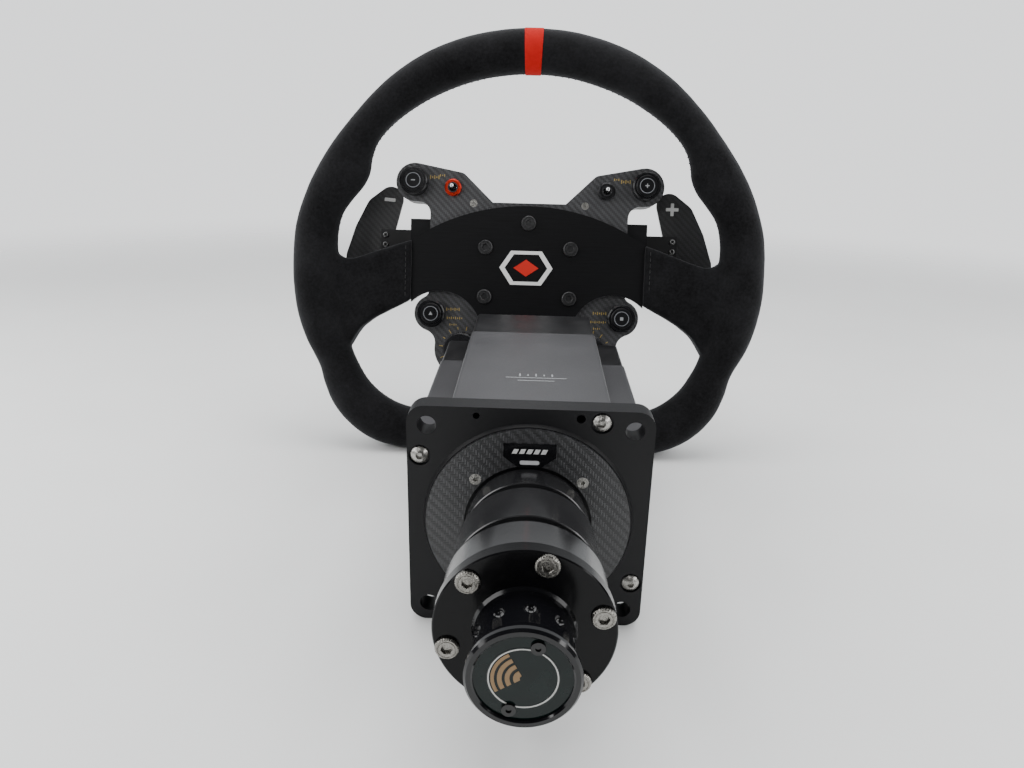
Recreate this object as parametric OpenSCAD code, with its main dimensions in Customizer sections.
// Direct-drive racing wheel set: a square motor base with a quick-release shaft, and a D-shaped
// steering wheel that stands behind it, leaning back.
// +X right, +Y away from the driver's end of the shaft, +Z up, millimetres.
// The origin is the centre of the flange's front face, on the shaft's axis.

/* [Motor base] */
// Side of the square mounting flange
flange_w = 110; // [109:0.5:112]
// Thickness of the mounting flange
flange_t = 11; // [10:0.5:12]
// Corner radius of the mounting flange
flange_corner_r = 8; // [6:0.5:9]
// Distance between neighbouring mounting holes
mount_spacing = 92; // [90:0.5:92]
// Radius of the mounting holes
mount_hole_r = 4.25; // [3:0.25:4.5]
// Length of the grey housing behind the flange
housing_len = 116; // [116:1:130]
// Length of the glossy rear cap
cap_len = 43; // [43:1:50]

/* [Shaft and quick release] */
// Radius of the hub behind the first groove
hub_r = 28; // [26:0.5:28]
// Radius of the sleeve between the two wide grooves
sleeve_r = 30; // [29:0.5:31]
// Radius of the collar in front of the second groove
collar_r = 32.2; // [31.5:0.1:33]
// Radius of the quick-release flange
qr_flange_r = 33.9; // [33.9:0.1:36]
// Radius of the quick-release hub's plain body
qr_body_r = 18; // [17.5:0.1:18.5]
// Radius of the quick-release hub's front lip
qr_lip_r = 20.15; // [19.8:0.05:20.15]
// Number of ball dimples around the quick-release hub
qr_dimples = 10; // [8:2:12]

/* [Steering wheel] */
// Outer diameter of the steering wheel
rim_d = 331; // [331:1:335]
// Radius of the padded rim's cross-section
grip_r = 15; // [14.5:0.1:15]
// Radius of the rounded lower corners, along the middle of the rim
corner_r = 68; // [66:1:70]
// Distance from the hub's axis down to the middle of the flat bottom
flat_drop = 111.5; // [111:0.5:113]
// How far the middle of the rim stands in front of the centre plate
rim_forward = 6.8; // [6.5:0.1:7]
// Angle at which the wheel leans back
lean = 13.7; // [12:0.1:15]
// Sideways place of the wheel's hub
wheel_x = -5.5; // [-10:0.5:10]
// Distance of the wheel's hub behind the flange's front face
wheel_y = 237; // [235:1:245]

/* [Buttons and paddles] */
// Radius of a push button's housing
button_r = 9.75; // [9.5:0.05:10]
// Radius of a push button's cap
button_cap_r = 7.5; // [7:0.1:7.5]
// Radius of a rotary knob
knob_r = 12.5; // [11:0.5:13]
// Thickness of the carbon sheets
carbon_t = 3; // [2.5:0.5:3]

/* [Hidden] */
$fn = 96;
e = 0.01;
fit = 0.06;

// Motor base
body_half = [54.9, 53.6];
arm_half = [36.4, 35.2];
arm_corner_r = 2;
bore_r = 46;
boss_r = 48;
boss_h = 1.5;
disc_r = 46.5;
disc_t = 1.5;
disc_hole_r = 29;
spigot_r = 34;
spigot_end = 19;
front_race = [3, 18];
front_race_r = 26;
rear_race = [115, 125];
rear_race_r = 17.5;
housing_end = flange_t + housing_len;
cap_end = housing_end + cap_len;
cap_wall = 4;
cap_inset = 0.5;
screw_at = [31.3, 49.3];
screw_r = 2;
rear_screw_at = [29, 47];
disc_screw_ring = 32.3;
disc_screw_angles = [42, 138, 222, 318];
inlet_at = [-22, -22];
inlet_r = 8;
usb_at = [4, -22];
usb_size = [15, 13];
link_at = [26, -20];
link_size = [15, 15];
power_at = [24, 20];
power_r = 7;

// Shaft: distances in front of the flange's face
shaft_r = 12.5;
hub_span = [3.6, 17.4];
sleeve_span = [25.4, 49.4];
collar_span = [57.4, 75.2];
plate_span = [75.7, 81.4];
hub_tip = 107.2;
shaft_tip = 62;
qr_screw_ring = 29.2;
qr_screw_turn = 15.3;
pin_ring = 13.5;
pin_turn = 70;
pin_r = 2.5;

// Rotor and stator
rotor_span = [30, 106];
rotor_r = 22;
magnet_r = 25.5;
gap_r = 26.5;
teeth = 12;

// Steering wheel: u to the right, v away from the driver, w up in the wheel's own plane
top_r = rim_d / 2 - grip_r;
corner_y = corner_r - flat_drop;
corner_x = sqrt(pow(top_r - corner_r, 2) - pow(corner_y, 2));
join_angle = atan2(-corner_y, corner_x);
floor_z = -flange_w / 2;
wheel_z = floor_z + grip_r + flat_drop * cos(lean) - rim_forward * sin(lean);
frame_t = 5;
ring_half = 4;
plate_half = 83;
bolt_ring = 35;
bolt_angles = [30, 90, 150, 210, 270, 330];
bolt_r = 2.5;
carbon_back = frame_t + carbon_t;
cover_back = 24;
spacer_r = 41;
spacer_back = 34;
receiver_back = 72;
receiver_r = 28;
receiver_bore_r = 20.25;
collar_front = 46;
collar_back = 66;
button_at = [[82, 62.5], [68, -30.5]];
toggle_at = [54.6, 59];
knob_at = [46, -56];
plate_screw_at = [39.8, 48.6];
low_screw_at = [24, -61];
paddle_pivot = [78.5, 22];
paddle_front = 24;
paddle_t = 2.5;
arm_span_w = [15, 30];

// ---------- shared shapes ----------

// Round bar along Y from y0 to y1
module post(x, z, y0, y1, r) {
    translate([x, y1, z]) rotate([90, 0, 0]) cylinder(h = y1 - y0, r = r);
}

// Flat outline in X and Z, made solid from y0 to y1
module slab(y0, y1) {
    translate([0, y1, 0]) rotate([90, 0, 0]) linear_extrude(height = y1 - y0) children();
}

// Profile of radius and distance towards the driver, turned about the Y axis
module turned() {
    rotate([90, 0, 0]) rotate_extrude() children();
}

module rounded_rect(w, h, r) {
    square([w - 2 * r, h], center = true);
    square([w, h - 2 * r], center = true);
    for (i = [-1, 1], j = [-1, 1])
        translate([i * (w / 2 - r), j * (h / 2 - r)]) circle(r = r);
}

// Hexagon socket along Y, from y0 to y1
module hex_socket(y0, y1, r) {
    translate([0, y1, 0]) rotate([90, 0, 0]) cylinder(h = y1 - y0, r = r, $fn = 6);
}

// Domed screw: its head's seat is at y = 0, and the head points to -Y
module domed_screw(head_r, head_h, shank_r, shank_len) {
    dome_r = head_r * 1.35;
    difference() {
        union() {
            turned() intersection() {
                translate([0, head_h - dome_r]) circle(r = dome_r);
                square([head_r, head_h]);
            }
            post(0, 0, -e, shank_len, shank_r);
        }
        hex_socket(-head_h - 1, -head_h * 0.35, head_r * 0.42);
    }
}

// Countersunk screw: its flat head is flush with y = 0
module sunk_profile(head_r, shank_r, len) {
    polygon([[0, 0], [head_r, 0], [shank_r, shank_r - head_r], [shank_r, -len], [0, -len]]);
}

module sunk_screw(head_r, shank_r, len) {
    difference() {
        turned() sunk_profile(head_r, shank_r, len);
        hex_socket(-1, (head_r - shank_r) * 0.9, head_r * 0.38);
    }
}

function ring_point(r, angle) = [r * cos(angle), r * sin(angle)];

// ---------- motor base ----------

function flange_screw_points() = [for (i = [0:3])
    let (a = screw_at[0], b = screw_at[1])
    i == 0 ? [a, b] : i == 1 ? [b, -a] : i == 2 ? [-a, -b] : [-b, a]];

function rear_screw_points() = [for (i = [-1, 1], j = [-1, 1])
    [i * rear_screw_at[0], j * rear_screw_at[1]]];

// Square body with a notch at each corner, which leaves room for the mounting bolts
module cross_outline(inset = 0) {
    rounded_rect(2 * (body_half[0] - inset), 2 * (arm_half[1] - inset), arm_corner_r);
    rounded_rect(2 * (arm_half[0] - inset), 2 * (body_half[1] - inset), arm_corner_r);
}

module motor_flange() {
    small_holes = [[-24, 51, 1.5], [22, 51, 2]];
    counterbore_r = 5;
    counterbore_depth = 1.2;
    color([0.06, 0.06, 0.07]) difference() {
        union() {
            slab(0, flange_t) rounded_rect(flange_w, flange_w, flange_corner_r);
            turned() polygon([[0, 0], [boss_r, 0], [boss_r - 1, boss_h], [0, boss_h]]);
            post(0, 0, flange_t - e, spigot_end, spigot_r);
        }
        post(0, 0, -5, spigot_end + 1, shaft_r + 2);
        post(0, 0, front_race[0], spigot_end + 1, front_race_r);
        for (i = [-1, 1], j = [-1, 1])
            post(i * mount_spacing / 2, j * mount_spacing / 2, -1, flange_t + 1, mount_hole_r);
        for (p = flange_screw_points()) {
            post(p[0], p[1], -1, counterbore_depth, counterbore_r);
            post(p[0], p[1], 0, flange_t + 1, screw_r);
        }
        for (h = small_holes) post(h[0], h[1], -1, 6, h[2]);
        for (a = disc_screw_angles) {
            p = ring_point(disc_screw_ring, a);
            post(p[0], p[1], -5, 6, 1.25);
        }
    }
}

module motor_housing() {
    thread_depth = 14;
    color([0.25, 0.25, 0.27]) difference() {
        slab(flange_t, housing_end) cross_outline();
        post(0, 0, flange_t - 1, housing_end + 1, bore_r);
        for (p = flange_screw_points()) post(p[0], p[1], 0, flange_t + thread_depth, screw_r);
        for (p = rear_screw_points())
            post(p[0], p[1], housing_end - thread_depth, housing_end + 1, 1.5);
    }
}

module rear_bearing_plate() {
    color([0.55, 0.55, 0.57]) difference() {
        post(0, 0, rear_race[0], housing_end, bore_r);
        post(0, 0, rear_race[0] - 1, housing_end + 1, rear_race_r - 3);
        post(0, 0, rear_race[0] - 1, rear_race[1], rear_race_r);
    }
}

module rear_cap() {
    inner_r = 43;
    color([0.04, 0.04, 0.045]) difference() {
        slab(housing_end, cap_end) cross_outline(cap_inset);
        post(0, 0, housing_end - 1, cap_end - cap_wall, inner_r);
        post(inlet_at[0], inlet_at[1], housing_end, cap_end + 1, inlet_r);
        translate([usb_at[0], 0, usb_at[1]])
            slab(housing_end, cap_end + 1) square(usb_size, center = true);
        translate([link_at[0], 0, link_at[1]])
            slab(housing_end, cap_end + 1) square(link_size, center = true);
        post(power_at[0], power_at[1], housing_end, cap_end + 1, power_r + fit);
        for (p = rear_screw_points()) {
            post(p[0], p[1], housing_end - 1, cap_end + 1, 1.5);
            post(p[0], p[1], cap_end - 3, cap_end + 1, 3.2);
        }
    }
}

module rear_cap_screws() {
    color([0.7, 0.7, 0.72]) for (p = rear_screw_points())
        translate([p[0], cap_end - 3, p[1]]) rotate([0, 0, 180])
            domed_screw(2.9, 2.2, 1.5, cap_len + 8);
}

module flange_screws() {
    color([0.75, 0.74, 0.72]) for (p = flange_screw_points())
        translate([p[0], 1.2, p[1]]) domed_screw(4, 2.8, screw_r, 20);
}

module carbon_disc() {
    color([0.09, 0.09, 0.10]) difference() {
        post(0, 0, -boss_h - disc_t, -boss_h, disc_r);
        post(0, 0, -boss_h - disc_t - 1, 0, disc_hole_r);
        for (a = disc_screw_angles) {
            p = ring_point(disc_screw_ring, a);
            translate([p[0], -boss_h - disc_t, p[1]]) turned() sunk_profile(2.7, 1.25, 6);
        }
    }
}

module disc_screws() {
    color([0.75, 0.74, 0.72]) for (a = disc_screw_angles) {
        p = ring_point(disc_screw_ring, a);
        translate([p[0], -boss_h - disc_t, p[1]]) sunk_screw(2.7, 1.25, 6);
    }
}

module badge_plate() {
    face = -boss_h - disc_t;
    color([0.02, 0.02, 0.02]) slab(face - 0.6, face)
        polygon([[-11.7, 39.8], [11.7, 39.8], [11.7, 33.6], [5, 28.6], [-5, 28.6], [-11.7, 33.6]]);
}

module status_led() {
    face = -boss_h - disc_t - 0.6;
    color([0.95, 0.95, 0.92]) slab(face - 0.3, face) translate([0, 31]) rounded_rect(8.6, 1.8, 0.8);
}

module stator_core() {
    color([0.45, 0.45, 0.47]) slab(rotor_span[0], rotor_span[1]) difference() {
        union() {
            difference() {
                circle(r = bore_r);
                circle(r = 38.5);
            }
            for (i = [0:teeth - 1]) rotate(i * 360 / teeth) {
                translate([33, 0]) square([13, 5], center = true);
                translate([27.5, 0]) square([3, 10], center = true);
            }
        }
        circle(r = gap_r);
    }
}

module stator_windings() {
    mid = (rotor_span[0] + rotor_span[1]) / 2;
    len = rotor_span[1] - rotor_span[0];
    color([0.72, 0.38, 0.18]) for (i = [0:teeth - 1])
        rotate([0, i * 360 / teeth, 0]) translate([33.5, mid, 0]) difference() {
            cube([7, len + 8, 11], center = true);
            cube([8, len + 0.2, 5.1], center = true);
        }
}

module race(span, outer_r, inner_r) {
    difference() {
        post(0, 0, span[0], span[1], outer_r);
        post(0, 0, span[0] - 1, span[1] + 1, inner_r);
    }
}

module bearing_outers() {
    color([0.7, 0.7, 0.72]) {
        race(front_race, front_race_r, 22.95);
        race(rear_race, rear_race_r, 15.25);
    }
}

module control_board() {
    board = [142, 143.6];
    color([0.05, 0.25, 0.12]) {
        post(0, 0, board[0], board[1], 40);
        for (x = [-14, 0]) post(x, 22, board[1] - e, board[1] + 14, 5.5);
        translate([-8, board[1] + 2 - e, -2]) cube([14, 4, 14], center = true);
        translate([0, board[0] - 1, 0]) cube([8, 2 + e, 8], center = true);
    }
}

module rear_sockets() {
    depth = 12;
    start = cap_end - 18;
    color([0.08, 0.08, 0.09]) {
        difference() {
            post(inlet_at[0], inlet_at[1], start, cap_end + 1, inlet_r);
            post(inlet_at[0], inlet_at[1], cap_end - depth, cap_end + 2, inlet_r - 1.5);
        }
        difference() {
            translate([usb_at[0], 0, usb_at[1]]) slab(start, cap_end) square(usb_size, center = true);
            translate([usb_at[0], 0, usb_at[1]])
                slab(cap_end - depth, cap_end + 1) square(usb_size - [3, 3], center = true);
        }
        difference() {
            translate([link_at[0], 0, link_at[1]]) slab(start, cap_end) square(link_size, center = true);
            translate([link_at[0], 0, link_at[1]])
                slab(cap_end - depth, cap_end + 1) square(link_size - [3, 3], center = true);
        }
    }
}

module power_button() {
    color([0.12, 0.12, 0.13]) translate([power_at[0], 0, power_at[1]]) rotate([-90, 0, 0])
        rotate_extrude() polygon([
            [0, cap_end - 15], [3, cap_end - 15], [3, cap_end - 6], [power_r, cap_end - 6],
            [power_r, cap_end + 1.6], [power_r - 0.8, cap_end + 2.4], [0, cap_end + 2]
        ]);
}

// ---------- shaft and quick release ----------

module rotor_shaft() {
    color([0.62, 0.62, 0.64]) difference() {
        turned() polygon([
            [0, -134], [6, -134], [6, -126], [8.5, -126], [8.5, -rear_race[0]],
            [10, -rear_race[0]], [10, -rotor_span[1]], [rotor_r, -rotor_span[1]],
            [rotor_r, -rotor_span[0]], [15, -rotor_span[0]], [15, -front_race[1]],
            [shaft_r, -front_race[1]], [shaft_r, shaft_tip], [0, shaft_tip]
        ]);
        post(0, 0, -shaft_tip - 1, 60, 3);
    }
}

module rotor_magnets() {
    poles = 8;
    color([0.35, 0.35, 0.38]) {
        slab(rotor_span[0], rotor_span[1]) difference() {
            circle(r = magnet_r);
            circle(r = rotor_r);
            for (i = [0:poles / 2 - 1])
                rotate(i * 360 / poles) square([2 * magnet_r + 2, 1.4], center = true);
        }
        post(0, 0, 134, 137.5, 4);
    }
}

module race_balls(span, ring_r, ball_r, count) {
    for (i = [0:count - 1]) {
        p = ring_point(ring_r, i * 360 / count);
        translate([p[0], (span[0] + span[1]) / 2, p[1]]) sphere(r = ball_r, $fn = 32);
    }
}

module bearing_inners() {
    color([0.75, 0.75, 0.77]) {
        race(front_race, 15.6, shaft_r);
        race_balls(front_race, 19.275, 3.6, 9);
        race(rear_race, 10.7, 8.5);
        race_balls(rear_race, 12.975, 2.2, 9);
    }
}

module ring_on_shaft(span, r, neck_len, neck_r) {
    bevel = 0.4;
    difference() {
        turned() polygon([
            [0, span[0]], [r - bevel, span[0]], [r, span[0] + bevel], [r, span[1] - bevel],
            [r - bevel, span[1]], [neck_r, span[1]], [neck_r, span[1] + neck_len],
            [0, span[1] + neck_len]
        ]);
        post(0, 0, -span[1] - neck_len - 1, -span[0] + 1, shaft_r);
    }
}

module shaft_hub() {
    color([0.07, 0.07, 0.08]) ring_on_shaft(hub_span, hub_r, sleeve_span[0] - hub_span[1], hub_r - 2);
}

module hub_sleeve() {
    neck = collar_span[0] - sleeve_span[1];
    color([0.07, 0.07, 0.08]) ring_on_shaft(sleeve_span, sleeve_r, neck, sleeve_r - 2);
}

module clamp_collar() {
    neck = plate_span[0] - collar_span[1];
    color([0.07, 0.07, 0.08]) difference() {
        ring_on_shaft(collar_span, collar_r, neck, collar_r - 0.6);
        for (i = [0:5]) {
            p = ring_point(qr_screw_ring, qr_screw_turn + i * 60);
            post(p[0], p[1], -plate_span[0] - 1, -66, 2);
        }
    }
}

module qr_flange() {
    spigot = 14;
    bevel = 0.5;
    color([0.07, 0.07, 0.08]) difference() {
        turned() polygon([
            [spigot, plate_span[0]], [qr_flange_r, plate_span[0]],
            [qr_flange_r, plate_span[1] - bevel], [qr_flange_r - bevel, plate_span[1]],
            [spigot, plate_span[1]]
        ]);
        for (i = [0:5]) {
            p = ring_point(qr_screw_ring, qr_screw_turn + i * 60);
            post(p[0], p[1], -plate_span[1] - 1, -plate_span[0] + 1, 2);
        }
    }
}

module qr_flange_screws() {
    color([0.78, 0.76, 0.73]) for (i = [0:5]) {
        p = ring_point(qr_screw_ring, qr_screw_turn + i * 60);
        translate([p[0], -plate_span[1], p[1]]) domed_screw(4.6, 2.4, 2, 15);
    }
}

module qr_hub() {
    dimple_at = 92.5;
    dimple_r = 2.7;
    recess_r = 17;
    recess_floor = 105;
    color([0.05, 0.05, 0.055]) difference() {
        turned() polygon([
            [0, plate_span[0]], [14, plate_span[0]], [14, plate_span[1]],
            [qr_body_r + 1.4, plate_span[1]], [qr_body_r + 0.4, 82.6], [qr_body_r, 84],
            [qr_body_r, 100], [qr_body_r + 0.4, 101.8], [qr_lip_r - 0.6, 103.6],
            [qr_lip_r, 104.6], [qr_lip_r, 106.2], [qr_lip_r - 0.9, hub_tip],
            [recess_r + 0.6, hub_tip], [recess_r, hub_tip - 0.5], [recess_r, recess_floor],
            [0, recess_floor]
        ]);
        for (i = [0:qr_dimples - 1]) {
            p = ring_point(qr_body_r + 0.7, 84 + i * 360 / qr_dimples);
            translate([p[0], -dimple_at, p[1]]) sphere(r = dimple_r);
        }
    }
}

module contact_disc() {
    color([0.03, 0.07, 0.06]) post(0, 0, -106, -105, 17);
}

module contact_marks() {
    arc_radii = [[1.2, 3.4], [4.6, 6.2], [7.2, 8.8], [9.8, 11]];
    color([0.85, 0.78, 0.6]) slab(-106.15, -106) {
        difference() {
            circle(r = 12.3);
            circle(r = 11.5);
            for (a = [pin_turn, pin_turn + 180]) translate(ring_point(pin_ring, a))
                circle(r = pin_r + fit);
        }
        for (a = arc_radii) intersection() {
            difference() {
                circle(r = a[1]);
                circle(r = a[0]);
            }
            polygon([[0, 0], ring_point(30, 118), ring_point(30, 165), ring_point(30, 212)]);
        }
    }
}

module contact_pins() {
    color([0.03, 0.03, 0.03]) for (a = [pin_turn, pin_turn + 180]) {
        p = ring_point(pin_ring, a);
        translate([p[0], -106, p[1]]) difference() {
            post(0, 0, -1, 0, pin_r);
            post(0, 0, -2, -0.4, 1);
        }
    }
}

// ---------- steering wheel ----------

module on_wheel() {
    translate([wheel_x, wheel_y, wheel_z]) rotate([-lean, 0, 0]) children();
}

// The rim's D-shaped path: a profile of outward and driver-side distance is swept along it.
// A seam above 0 leaves hairline gaps, so that the four stretches stay separate pieces.
module rim_sweep(seam = 0) {
    translate([0, -rim_forward, 0]) rotate([90, 0, 0]) {
        rotate([0, 0, -join_angle]) rotate_extrude(angle = 180 + 2 * join_angle)
            translate([top_r, 0]) children();
        translate([corner_x, corner_y, 0]) rotate([0, 0, -90])
            rotate_extrude(angle = 90 - join_angle - seam) translate([corner_r, 0]) children();
        translate([-corner_x, corner_y, 0]) rotate([0, 0, 180 + join_angle + seam])
            rotate_extrude(angle = 90 - join_angle - seam) translate([corner_r, 0]) children();
        translate([corner_x - seam, -flat_drop, 0]) rotate([90, 0, -90])
            linear_extrude(height = 2 * (corner_x - seam)) children();
    }
}

module ring_profile() {
    translate([-ring_half, -rim_forward - frame_t]) square([2 * ring_half, frame_t]);
}

module both_sides() {
    children();
    mirror([1, 0]) children();
}

module spoke_bar() {
    both_sides() polygon([[70, 17], [82, 17], [147, -2], [147, -36], [82, -12], [70, -12]]);
}

module bolt_holes() {
    for (a = bolt_angles) translate(ring_point(bolt_ring, a)) circle(r = bolt_r);
}

module centre_outline() {
    top_arc_r = 148;
    top_peak = 47;
    bottom = -47;
    difference() {
        intersection() {
            translate([0, top_peak - top_arc_r]) circle(r = top_arc_r, $fn = 180);
            translate([-plate_half, bottom]) square([2 * plate_half, top_peak - bottom]);
        }
        both_sides() translate([62, -44]) circle(r = 30);
    }
}

// Points along an arc about c, from angle a0 to a1
function arc(c, r, a0, a1, steps = 14) =
    [for (k = [0:steps]) c + r * [cos(a0 + (a1 - a0) * k / steps), sin(a0 + (a1 - a0) * k / steps)]];

// The rim's D-shaped path in the wheel's plane, moved outwards by i
function rim_edge(i) = concat(
    arc([0, 0], top_r + i, -join_angle, 180 + join_angle, 110),
    arc([-corner_x, corner_y], corner_r + i, 182 + join_angle, 270, 26),
    arc([corner_x, corner_y], corner_r + i, 270, 358 - join_angle, 26)
);

module rim_frame() {
    half = ring_half - 0.05;
    color([0.05, 0.05, 0.05]) on_wheel() difference() {
        union() {
            slab(0, frame_t) difference() {
                polygon(rim_edge(half));
                polygon(rim_edge(-half));
            }
            slab(0, frame_t) {
                centre_outline();
                spoke_bar();
            }
        }
        slab(-1, frame_t + 1) bolt_holes();
    }
}

module rim_grip() {
    color([0.09, 0.09, 0.10]) on_wheel() difference() {
        rim_sweep(0.02) difference() {
            circle(r = grip_r);
            ring_profile();
        }
        slab(0, frame_t) spoke_bar();
    }
}

module centre_band() {
    band_w = 12;
    turn = band_w / top_r * 180 / PI;
    color([0.85, 0.12, 0.10]) on_wheel() translate([0, -rim_forward, 0]) rotate([90, 0, 0])
        rotate([0, 0, 90 - turn / 2]) rotate_extrude(angle = turn) translate([top_r, 0])
            difference() {
                circle(r = grip_r + 0.4);
                circle(r = grip_r);
            }
}

module spoke_wraps() {
    wrap = [-3.4, 7.6];
    color([0.09, 0.09, 0.10]) on_wheel() difference() {
        slab(wrap[0], wrap[1]) both_sides() polygon([
            [plate_half, 22], [129, 7.5], [137, 11], [145, 8], [146, -10], [142, -36], [134, -55],
            [124, -51], [118, -41.5], [92, -24.5], [plate_half, -17.5]
        ]);
        slab(0, frame_t) {
            spoke_bar();
            centre_outline();
        }
        rim_sweep() circle(r = grip_r);
    }
}

module plate_bolts() {
    color([0.12, 0.12, 0.13]) on_wheel() for (a = bolt_angles) {
        p = ring_point(bolt_ring, a);
        translate([p[0], 0, p[1]]) domed_screw(5.3, 2.8, bolt_r, 38);
    }
}

module emblem() {
    outer = [[-19, 0], [-11, 12], [11, 12], [19, 0], [11, -12], [-11, -12]];
    color([0.93, 0.93, 0.92]) on_wheel() translate([-1, 0, 3.5]) slab(-0.4, 0) {
        difference() {
            polygon(outer);
            scale(0.8) polygon(outer);
        }
        polygon([[-9, 0], [0, 6], [9, 0], [0, -6]]);
    }
}

function heading(a, b) = atan2(b[1] - a[1], b[0] - a[0]);
function mirrored(points) = [for (k = [len(points) - 1:-1:0]) [-points[k][0], points[k][1]]];

// Centre of the fillet that touches two circles, on the right of the line from the first to the second
function fillet_centre(a, ra, b, rb) =
    let (d = norm(b - a), along = (ra * ra - rb * rb + d * d) / (2 * d),
        side = sqrt(ra * ra - along * along), t = (b - a) / d)
    a + along * t + side * [t[1], -t[0]];

// Right half of the carbon button plate's edge, with its edges moved in by i
function plate_edge(i) =
    let (
        upper = button_at[0], upper_r = 13.5, lower = button_at[1], lower_r = 13, lobe_r = 20,
        waist = 70.6, fillet_r = 9.4, low_fillet_r = 5.5, high_fillet_r = 8.4, shoulder = [50.2, 63.65],
        shoulder_r = 6.5, top_tilt = 100.6, flank_tilt = 133.7, bottom = -68, middle_top = 49.5,
        notch = fillet_centre(knob_at, lobe_r + fillet_r, lower, lower_r + fillet_r),
        low_u = waist + low_fillet_r,
        low = [low_u, lower[1] + sqrt(pow(lower_r + low_fillet_r, 2) - pow(low_u - lower[0], 2))],
        high = [waist + high_fillet_r, upper[1] - upper_r - high_fillet_r]
    ) concat(
        [[0, bottom + i]],
        arc(knob_at, lobe_r - i, -143, heading(knob_at, notch)),
        arc(notch, fillet_r + i, heading(notch, knob_at) + 360, heading(notch, lower)),
        arc(lower, lower_r - i, heading(lower, notch), heading(lower, low)),
        arc(low, low_fillet_r + i, heading(low, lower) + 360, 180),
        arc(high, high_fillet_r + i, 180, 90),
        arc(upper, upper_r - i, -90, top_tilt),
        arc(shoulder, shoulder_r - i, top_tilt, flank_tilt),
        [[26 + 0.4 * i, middle_top - i], [0, middle_top - i]]
    );

module plate_outline(inset) {
    half = plate_edge(inset);
    polygon(concat(half, mirrored(half)));
}

module button_plate() {
    color([0.09, 0.09, 0.10]) on_wheel() difference() {
        slab(frame_t, carbon_back) difference() {
            plate_outline(0);
            circle(r = 20);
            bolt_holes();
            both_sides() {
                for (p = button_at) translate(p) circle(r = 8);
                translate(toggle_at) circle(r = 3.6);
                translate(knob_at) circle(r = 3.6);
            }
        }
        for (s = [-1, 1], p = [plate_screw_at, low_screw_at])
            translate([s * p[0], frame_t, p[1]]) turned() sunk_profile(2.7, 1.25, 8);
    }
}

module plate_screws() {
    color([0.75, 0.74, 0.72]) on_wheel() for (s = [-1, 1], p = [plate_screw_at, low_screw_at])
        translate([s * p[0], frame_t, p[1]]) sunk_screw(2.7, 1.25, 6);
}

module button_housings() {
    front = -4;
    color([0.03, 0.03, 0.03]) on_wheel() for (s = [-1, 1], p = button_at)
        translate([s * p[0], 0, p[1]]) difference() {
            union() {
                turned() polygon([
                    [0, -frame_t], [button_r, -frame_t], [button_r, -front - 0.8],
                    [button_r - 0.8, -front], [0, -front]
                ]);
                post(0, 0, frame_t - e, carbon_back + e, 8);
                post(0, 0, carbon_back, carbon_back + 3, 10);
                post(0, 0, carbon_back + 3 - e, 21.5, 7);
            }
            post(0, 0, front - 1, 2, button_cap_r + fit);
            post(0, 0, 1, 12, 2.5 + fit);
        }
}

module push_button(side, p) {
    top = 5;
    color([0.10, 0.10, 0.11]) on_wheel() translate([side * p[0], 0, p[1]]) difference() {
        turned() polygon([
            [0, -6], [2.5, -6], [2.5, 0.5], [button_cap_r, 0.5], [button_cap_r, top - 0.7],
            [button_cap_r - 0.7, top], [0, top]
        ]);
        turned() translate([4.7, top - 0.3]) square([0.6, 1]);
    }
}

module toggle_nuts() {
    color([0.75, 0.10, 0.06]) on_wheel() for (s = [-1, 1])
        translate([s * toggle_at[0], 0, toggle_at[1]]) turned() polygon([
            [3.6, -frame_t], [6, -frame_t], [6, -2.2], [5.2, -1.4], [3.6, -1.4]
        ]);
}

module toggle_bodies() {
    color([0.10, 0.10, 0.11]) on_wheel() for (s = [-1, 1])
        translate([s * toggle_at[0], 0, toggle_at[1]]) difference() {
            union() {
                post(0, 0, 0.8, carbon_back + e, 3.6);
                slab(carbon_back, 17) square([8, 10], center = true);
            }
            post(0, 0, 0, 7.4, 2.75);
        }
}

module toggle_lever(side) {
    tip = -7;
    color([0.8, 0.8, 0.82]) on_wheel() translate([side * toggle_at[0], 0, toggle_at[1]]) {
        translate([0, 4.5, 0]) {
            sphere(r = 2.2);
            rotate([0, 90, 0]) cylinder(r = 0.7, h = 5.1, center = true);
        }
        post(0, 0, tip, 4.5, 1.1);
        translate([0, tip, 0]) sphere(r = 1.6);
    }
}

module encoder_bodies() {
    color([0.45, 0.45, 0.47]) on_wheel() for (s = [-1, 1])
        translate([s * knob_at[0], 0, knob_at[1]]) difference() {
            union() {
                post(0, 0, frame_t - 0.2, carbon_back + e, 3.6);
                slab(carbon_back, 18) square([13, 13], center = true);
            }
            post(0, 0, frame_t - 1, 16, 2.5 + fit);
        }
}

module knob(side) {
    front = -9;
    back = frame_t - 0.6;
    ribs = 18;
    color([0.04, 0.04, 0.045]) on_wheel() translate([side * knob_at[0], 0, knob_at[1]]) difference() {
        union() {
            turned() polygon([
                [0, -back], [knob_r, -back], [knob_r, -front - 1], [knob_r - 1, -front], [0, -front]
            ]);
            post(0, 0, back - e, 15, 2.5);
        }
        for (i = [0:ribs - 1]) {
            p = ring_point(knob_r + 0.5, i * 360 / ribs);
            post(p[0], p[1], front - 1, back - 2, 1);
        }
    }
}

module rear_cover() {
    wall = 2.2;
    color([0.07, 0.07, 0.08]) on_wheel() difference() {
        slab(carbon_back, cover_back) plate_outline(0.4);
        slab(carbon_back - 1, cover_back - wall) plate_outline(0.4 + wall);
        post(0, 0, carbon_back - 1, cover_back + 1, spacer_r);
    }
}

module button_board() {
    color([0.05, 0.25, 0.12]) on_wheel() slab(18.2, 19.6) difference() {
        plate_outline(4);
        circle(r = spacer_r + 1);
        both_sides() for (p = button_at) translate(p) circle(r = 7.2);
    }
}

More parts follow.
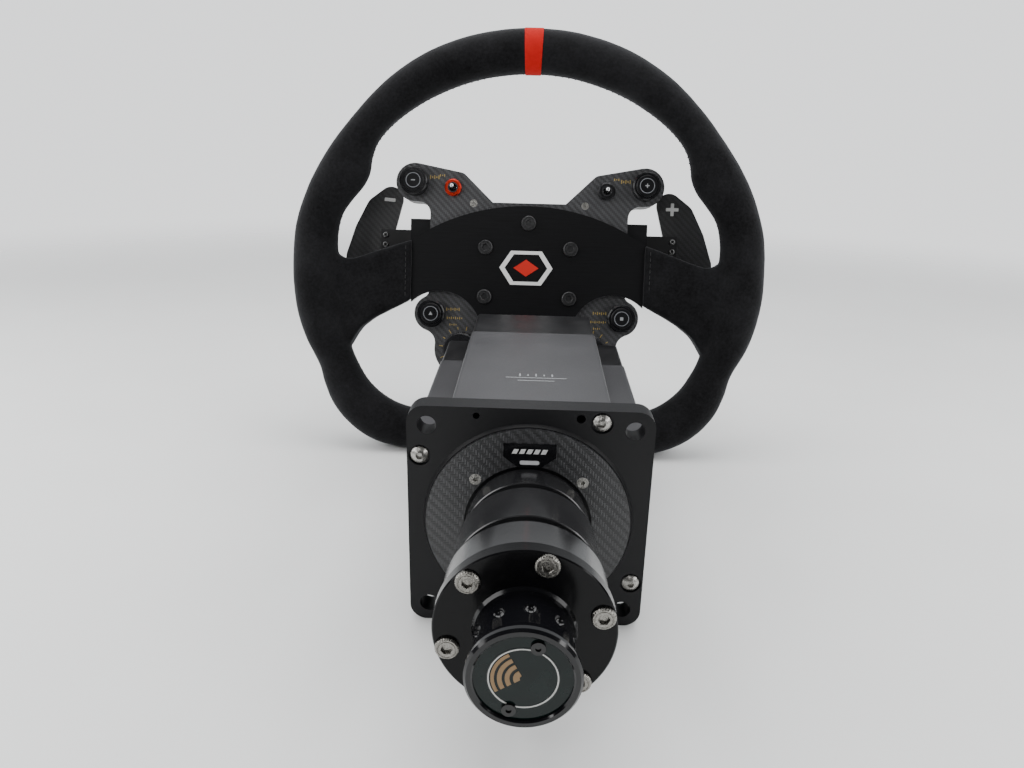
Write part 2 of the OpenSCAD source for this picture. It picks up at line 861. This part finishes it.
module shifter_blocks() {
    block = [[70.2, 85], [8, 30], [8, 37]];
    color([0.03, 0.03, 0.035]) on_wheel() for (s = [0, 1]) mirror([s, 0, 0]) {
        difference() {
            translate([block[0][0], block[1][0], block[2][0]])
                cube([block[0][1] - block[0][0], block[1][1] - block[1][0], block[2][1] - block[2][0]]);
            translate([74, 17, arm_span_w[0] - 0.5])
                cube([20, 10, arm_span_w[1] - arm_span_w[0] + 1]);
        }
        translate([paddle_pivot[0], paddle_pivot[1], block[2][0] + 3])
            cylinder(h = block[2][1] - block[2][0] - 6, r = 2);
    }
}

// Right-hand paddle: a carbon blade that widens towards its lower end
module blade() {
    circles = [
        [102.3, 52.5, 9], [108.8, 43, 12.7], [116, 27, 13.5], [122, 9, 13.5], [122, -7, 13]
    ];
    slab(paddle_front, paddle_front + paddle_t) hull()
        for (c = circles) translate([c[0], c[1]]) circle(r = c[2], $fn = 48);
}

module paddle_left() {
    color([0.10, 0.10, 0.11]) on_wheel() mirror([1, 0, 0]) blade();
}

module paddle_right() {
    color([0.10, 0.10, 0.11]) on_wheel() blade();
}

module arm() {
    low = arm_span_w[0];
    tall = arm_span_w[1] - low;
    difference() {
        union() {
            translate([paddle_pivot[0], 20, low]) cube([30, 4, tall]);
            translate([paddle_pivot[0], paddle_pivot[1], low]) cylinder(h = tall, r = 3.8);
        }
        translate([paddle_pivot[0], paddle_pivot[1], low - 1]) cylinder(h = tall + 2, r = 2 + fit);
    }
    for (w = [low + 4, low + tall - 4]) translate([105.2, 20, w]) domed_screw(2, 1.4, 0.8, 3.9);
}

module paddle_arm_left() {
    color([0.04, 0.04, 0.045]) on_wheel() mirror([1, 0, 0]) arm();
}

module paddle_arm_right() {
    color([0.04, 0.04, 0.045]) on_wheel() arm();
}

module hub_spacer() {
    color([0.06, 0.06, 0.065]) on_wheel() slab(carbon_back, spacer_back) difference() {
        circle(r = spacer_r);
        circle(r = 22);
        bolt_holes();
    }
}

module qr_receiver() {
    flange_back = 40;
    floor_v = 44;
    ball_v = 57;
    color([0.07, 0.07, 0.08]) on_wheel() difference() {
        union() {
            slab(spacer_back, flange_back) circle(r = spacer_r);
            post(0, 0, flange_back - e, receiver_back, receiver_r);
        }
        post(0, 0, floor_v, receiver_back + 1, receiver_bore_r);
        post(0, 0, spacer_back - 1, floor_v + 1, 8);
        for (a = bolt_angles) {
            p = ring_point(bolt_ring, a);
            post(p[0], p[1], spacer_back - 1, flange_back + 1, bolt_r);
        }
        for (i = [0:5]) translate([0, ball_v, 0]) rotate([0, i * 60, 0])
            translate([receiver_bore_r - 1, 0, 0]) rotate([0, 90, 0])
                cylinder(h = receiver_r, r = 2.6);
    }
}

module qr_balls() {
    color([0.75, 0.75, 0.77]) on_wheel() for (i = [0:5])
        translate([0, 57, 0]) rotate([0, i * 60, 0]) translate([23.6, 0, 0]) sphere(r = 2.6);
}

module qr_collar() {
    outer_r = 33;
    grooves = 20;
    color([0.08, 0.08, 0.09]) on_wheel() difference() {
        post(0, 0, collar_front, collar_back, outer_r);
        post(0, 0, collar_front - 1, collar_back + 1, receiver_r + fit);
        post(0, 0, collar_front - 1, collar_front + 13, receiver_r + 3.4);
        for (i = [0:grooves - 1]) {
            p = ring_point(outer_r + 0.4, i * 360 / grooves);
            post(p[0], p[1], collar_front + 3, collar_back + 1, 1.4);
        }
    }
}

// Compression spring around the receiver, drawn at the length it has with the collar pulled back
module qr_spring() {
    turns = 4;
    steps = 24;
    wire_sides = 8;
    wire_r = 0.8;
    mean_r = receiver_r + 1.6;
    first = 40 + wire_r + 0.1;
    rise = 11.2;
    rings = turns * steps;
    points = [for (i = [0:rings], j = [0:wire_sides - 1])
        let (a = i * 360 / steps, b = j * 360 / wire_sides, r = mean_r + wire_r * cos(b))
        [r * cos(a), first + rise * i / rings + wire_r * sin(b), r * sin(a)]];
    sides = [for (i = [0:rings - 1], j = [0:wire_sides - 1])
        let (k = (j + 1) % wire_sides)
        [i * wire_sides + j, i * wire_sides + k, (i + 1) * wire_sides + k, (i + 1) * wire_sides + j]];
    start_cap = [[for (j = [0:wire_sides - 1]) wire_sides - 1 - j]];
    end_cap = [[for (j = [0:wire_sides - 1]) rings * wire_sides + j]];
    color([0.6, 0.6, 0.62]) on_wheel()
        polyhedron(points = points, faces = concat(sides, start_cap, end_cap));
}

motor_flange();
motor_housing();
rear_bearing_plate();
rear_cap();
rear_cap_screws();
flange_screws();
carbon_disc();
disc_screws();
badge_plate();
status_led();
stator_core();
stator_windings();
bearing_outers();
control_board();
rear_sockets();
power_button();
rotor_shaft();
rotor_magnets();
bearing_inners();
shaft_hub();
hub_sleeve();
clamp_collar();
qr_flange();
qr_flange_screws();
qr_hub();
contact_disc();
contact_marks();
contact_pins();
rim_frame();
rim_grip();
centre_band();
spoke_wraps();
plate_bolts();
emblem();
button_plate();
plate_screws();
button_housings();
push_button(-1, button_at[0]);  // button_upper_left
push_button(1, button_at[0]);  // button_upper_right
push_button(-1, button_at[1]);  // button_lower_left
push_button(1, button_at[1]);  // button_lower_right
toggle_nuts();
toggle_bodies();
toggle_lever(-1);  // toggle_lever_left
toggle_lever(1);  // toggle_lever_right
encoder_bodies();
knob(-1);  // knob_left
knob(1);  // knob_right
rear_cover();
button_board();
shifter_blocks();
paddle_left();
paddle_right();
paddle_arm_left();
paddle_arm_right();
hub_spacer();
qr_receiver();
qr_balls();
qr_collar();
qr_spring();
